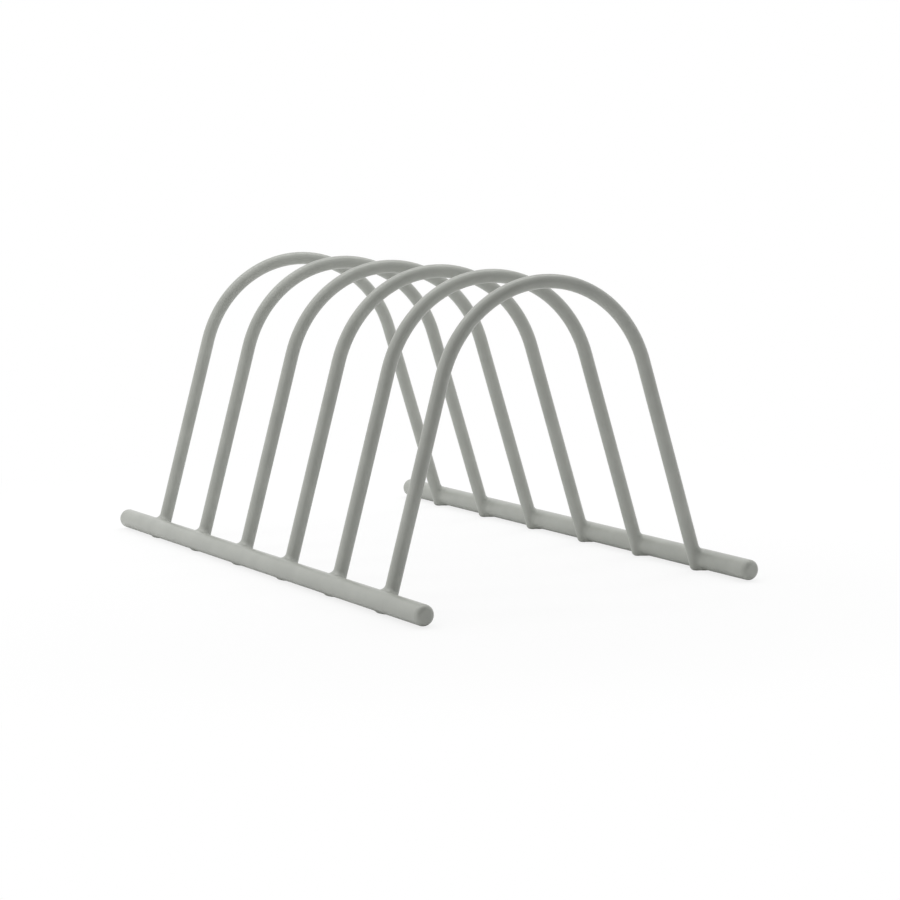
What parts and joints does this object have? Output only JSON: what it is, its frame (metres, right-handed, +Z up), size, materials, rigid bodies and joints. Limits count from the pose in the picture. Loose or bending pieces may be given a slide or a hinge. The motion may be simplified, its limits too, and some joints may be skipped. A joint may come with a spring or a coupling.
{
  "type": "letter rack",
  "caption": "Desk letter rack: a row of bent round-wire arches welded to parallel base rails and powder coated, so that letters stand upright in the gaps.",
  "frame": {"origin": "on the desk surface, under the middle of the rack", "axes": "+X along the base rails, +Y across them from the front rail to the back rail, +Z up"},
  "size_m": [0.1986, 0.1148, 0.0905],
  "materials": {
    "powder_coat": "matte"
  },
  "bodies": {
    "root": {"front_rail": "powder_coat", "back_rail": "powder_coat", "arch_1": "powder_coat", "weld_front_1": "powder_coat", "weld_back_1": "powder_coat", "arch_2": "powder_coat", "weld_front_2": "powder_coat", "weld_back_2": "powder_coat", "arch_3": "powder_coat", "weld_front_3": "powder_coat", "weld_back_3": "powder_coat", "arch_4": "powder_coat", "weld_front_4": "powder_coat", "weld_back_4": "powder_coat", "arch_5": "powder_coat", "weld_front_5": "powder_coat", "weld_back_5": "powder_coat", "arch_6": "powder_coat", "weld_front_6": "powder_coat", "weld_back_6": "powder_coat"}
  },
  "joints": []
}
